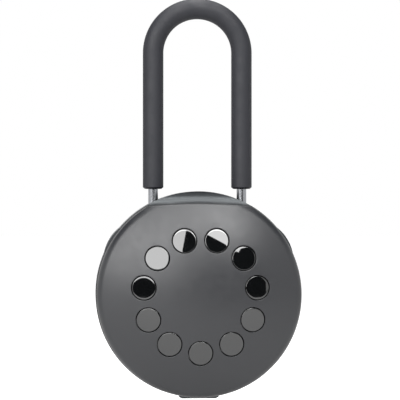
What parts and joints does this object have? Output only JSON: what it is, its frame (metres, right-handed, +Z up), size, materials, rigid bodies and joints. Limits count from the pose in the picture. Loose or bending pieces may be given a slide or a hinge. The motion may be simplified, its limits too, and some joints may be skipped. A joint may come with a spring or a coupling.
{
  "type": "electronic key lock box",
  "caption": "Round key lock box with a drop-down domed door, a ring of round glossy keys, and a long sleeved shackle that pulls out.",
  "frame": {"origin": "centre of the flat back face, on the axis of the round body", "axes": "+X to the right seen from the front, +Y out of the back, front faces -Y, +Z up along the shackle"},
  "size_m": [0.104, 0.05, 0.203],
  "materials": {
    "housing_metal": "satin dark grey coat on a die casting",
    "door_coat": "satin dark grey coat with fine metallic fleck",
    "key_gloss": "deep gloss black, mirror smooth",
    "sleeve_rubber": "soft matte vinyl",
    "steel_bright": "polished plated steel",
    "steel_plain": "zinc plated",
    "pad_rubber": "matte rubber",
    "seal_rubber": "matte silicone",
    "inner_plastic": "fine moulded texture",
    "mat_silicone": "matte silicone",
    "board_green": "solder mask",
    "cell_jacket": "plain printed film",
    "contact_metal": "nickel plated spring steel",
    "motor_metal": "plated can and brass gearbox",
    "cam_plastic": "acetal"
  },
  "bodies": {
    "housing": {"rear_housing": "housing_metal", "rear_pad": "pad_rubber", "door_gasket": "seal_rubber", "shackle_bushes": "seal_rubber", "lock_cover": "steel_plain", "lock_cover_screws": "steel_plain", "door_strike": "steel_plain", "strike_screws": "steel_plain", "key_hook": "steel_bright", "key_hook_screw": "steel_plain", "hinge_pin": "steel_plain"},
    "door": {"door_shell": "door_coat", "keypad_mat": "mat_silicone", "keypad_board": "board_green", "board_screws": "steel_plain", "door_tray": "inner_plastic", "tray_screws": "steel_plain", "battery_holder": "inner_plastic", "batteries": "cell_jacket", "battery_contacts": "contact_metal", "battery_cover": "inner_plastic", "battery_cover_screw": "steel_plain", "gearmotor": "motor_metal", "motor_clamp": "steel_plain", "clamp_screw": "steel_plain", "latch_guide": "inner_plastic"},
    "shackle": {"shackle_bar": "steel_bright", "shackle_sleeve": "sleeve_rubber"},
    "lock_bar": {"shackle_lock_bar": "steel_plain"},
    "latch": {"latch_bolt": "steel_plain"},
    "cam": {"lock_cam": "cam_plastic"},
    "reset": {"reset_button": "cam_plastic"},
    "key_1": {"key_cap_1": "key_gloss"},
    "key_2": {"key_cap_2": "key_gloss"},
    "key_3": {"key_cap_3": "key_gloss"},
    "key_4": {"key_cap_4": "key_gloss"},
    "key_5": {"key_cap_5": "key_gloss"},
    "key_6": {"key_cap_6": "key_gloss"},
    "key_7": {"key_cap_7": "key_gloss"},
    "key_8": {"key_cap_8": "key_gloss"},
    "key_9": {"key_cap_9": "key_gloss"},
    "key_10": {"key_cap_10": "key_gloss"},
    "key_11": {"key_cap_11": "key_gloss"}
  },
  "joints": [
    {"name": "door_hinge", "type": "hinge", "parent": "housing", "child": "door", "pos_m": [0, -0.02915, -0.05025], "axis": [1, 0, 0], "range_deg": [0, 100]},
    {"name": "shackle_lift", "type": "slide", "parent": "housing", "child": "shackle", "axis": [0, 0, 1], "range_m": [0, 0.03]},
    {"name": "lock_bar_slide", "type": "slide", "parent": "housing", "child": "lock_bar", "axis": [1, 0, 0], "range_m": [0, 0.0018]},
    {"name": "bolt_slide", "type": "slide", "parent": "door", "child": "latch", "axis": [0, 0, 1], "range_m": [0, 0.0041]},
    {"name": "cam_turn", "type": "hinge", "parent": "door", "child": "cam", "pos_m": [-0.003, -0.03087, 0.025], "axis": [-1, 0, 0], "range_deg": [0, 80]},
    {"name": "reset_press", "type": "slide", "parent": "door", "child": "reset", "axis": [0, -1, 0], "range_m": [0, 0.0006], "stiffness_N_per_m": 400},
    {"name": "key_1_press", "type": "slide", "parent": "door", "child": "key_1", "axis": [0, 1, 0], "range_m": [0, 0.0008], "stiffness_N_per_m": 500, "deforming": ["keypad_mat"]},
    {"name": "key_2_press", "type": "slide", "parent": "door", "child": "key_2", "axis": [0, 1, 0], "range_m": [0, 0.0008], "stiffness_N_per_m": 500, "deforming": ["keypad_mat"]},
    {"name": "key_3_press", "type": "slide", "parent": "door", "child": "key_3", "axis": [0, 1, 0], "range_m": [0, 0.0008], "stiffness_N_per_m": 500, "deforming": ["keypad_mat"]},
    {"name": "key_4_press", "type": "slide", "parent": "door", "child": "key_4", "axis": [0, 1, 0], "range_m": [0, 0.0008], "stiffness_N_per_m": 500, "deforming": ["keypad_mat"]},
    {"name": "key_5_press", "type": "slide", "parent": "door", "child": "key_5", "axis": [0, 1, 0], "range_m": [0, 0.0008], "stiffness_N_per_m": 500, "deforming": ["keypad_mat"]},
    {"name": "key_6_press", "type": "slide", "parent": "door", "child": "key_6", "axis": [0, 1, 0], "range_m": [0, 0.0008], "stiffness_N_per_m": 500, "deforming": ["keypad_mat"]},
    {"name": "key_7_press", "type": "slide", "parent": "door", "child": "key_7", "axis": [0, 1, 0], "range_m": [0, 0.0008], "stiffness_N_per_m": 500, "deforming": ["keypad_mat"]},
    {"name": "key_8_press", "type": "slide", "parent": "door", "child": "key_8", "axis": [0, 1, 0], "range_m": [0, 0.0008], "stiffness_N_per_m": 500, "deforming": ["keypad_mat"]},
    {"name": "key_9_press", "type": "slide", "parent": "door", "child": "key_9", "axis": [0, 1, 0], "range_m": [0, 0.0008], "stiffness_N_per_m": 500, "deforming": ["keypad_mat"]},
    {"name": "key_10_press", "type": "slide", "parent": "door", "child": "key_10", "axis": [0, 1, 0], "range_m": [0, 0.0008], "stiffness_N_per_m": 500, "deforming": ["keypad_mat"]},
    {"name": "key_11_press", "type": "slide", "parent": "door", "child": "key_11", "axis": [0, 1, 0], "range_m": [0, 0.0008], "stiffness_N_per_m": 500, "deforming": ["keypad_mat"]}
  ],
  "couplings": [
    {"joint": "cam_turn", "follows": "bolt_slide", "rad_per_m": 340.55}
  ]
}
